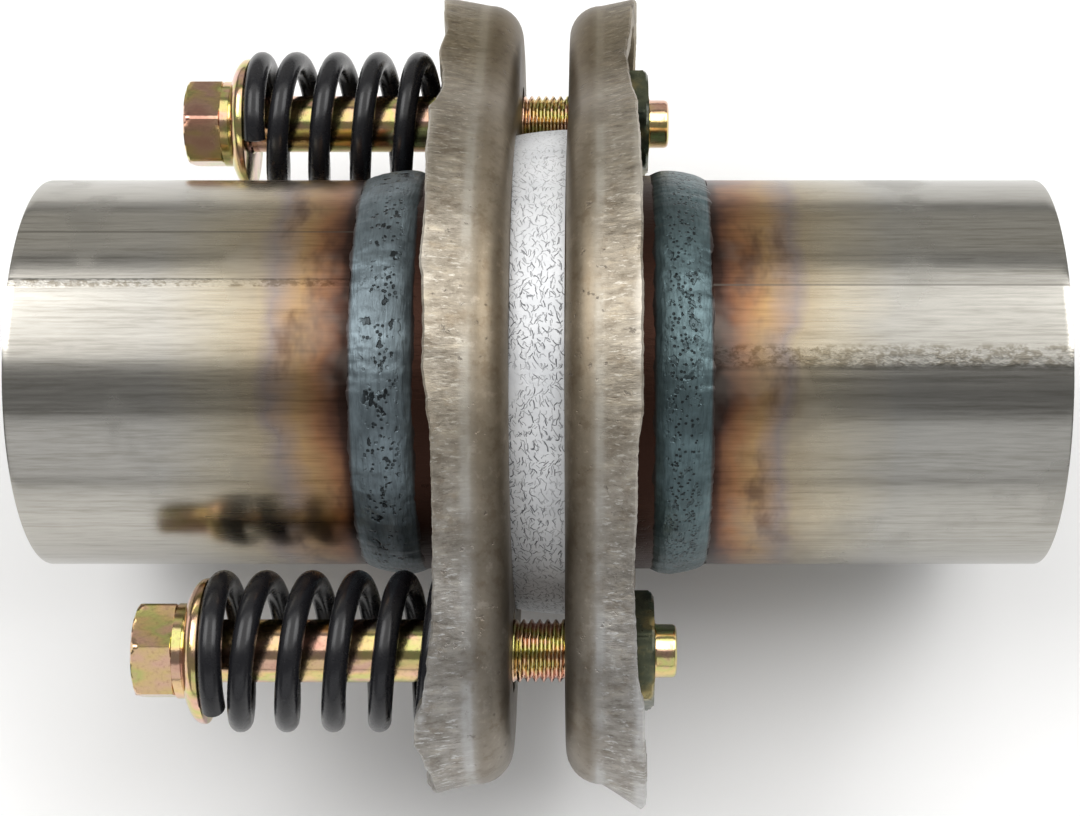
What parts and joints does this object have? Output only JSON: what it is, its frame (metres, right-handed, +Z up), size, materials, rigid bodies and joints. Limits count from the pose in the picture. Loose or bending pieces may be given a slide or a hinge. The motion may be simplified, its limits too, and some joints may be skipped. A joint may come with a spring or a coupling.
{
  "type": "two-bolt spherical exhaust joint",
  "caption": "Straight exhaust pipe ball joint: two tube stubs and pressed flanges squeeze a spherical ring gasket, held by sprung bolts, so one pipe can tilt on the other.",
  "frame": {"origin": "on the pipe axis, midway between the two flange faces and midway between the two tube ends", "axes": "+X along the pipes from the inlet stub towards the outlet stub, Y along the line of the two bolts, +Z up"},
  "size_m": [0.162, 0.1396, 0.092],
  "materials": {
    "brushed_stainless": "brushed, straw to brown heat tint beside the welds",
    "weld_metal": "blue-grey, rippled and pitted",
    "pressed_steel": "satin with draw marks",
    "sleeve_steel": "satin",
    "knitted_gasket": "pressed knitted wire mesh",
    "yellow_zinc": "yellow zinc plate, faintly iridescent",
    "black_spring": "glossy black",
    "dark_nut": "dark green-black plating with gold edges"
  },
  "bodies": {
    "gasket_side": {"outlet_pipe": "brushed_stainless", "outlet_weld_bead": "weld_metal", "gasket_flange": "pressed_steel", "gasket_sleeve": "sleeve_steel", "gasket_ring": "knitted_gasket", "front_bolt": "yellow_zinc", "rear_bolt": "yellow_zinc", "front_nut": "dark_nut", "rear_nut": "dark_nut"},
    "springs": {"front_spring": "black_spring", "rear_spring": "black_spring"},
    "socket_side": {"inlet_pipe": "brushed_stainless", "inlet_weld_bead": "weld_metal", "socket_flange": "pressed_steel"}
  },
  "joints": [
    {"name": "swing_sideways", "type": "hinge", "parent": "gasket_side", "child": "springs", "pos_m": [0.0041, 0, 0], "axis": [0, 0, 1], "range_deg": [-3, 3], "deforming": ["front_spring", "rear_spring"]},
    {"name": "swing_up_down", "type": "hinge", "parent": "springs", "child": "socket_side", "pos_m": [0.0041, 0, 0], "axis": [0, 1, 0], "range_deg": [-3, 3]}
  ]
}
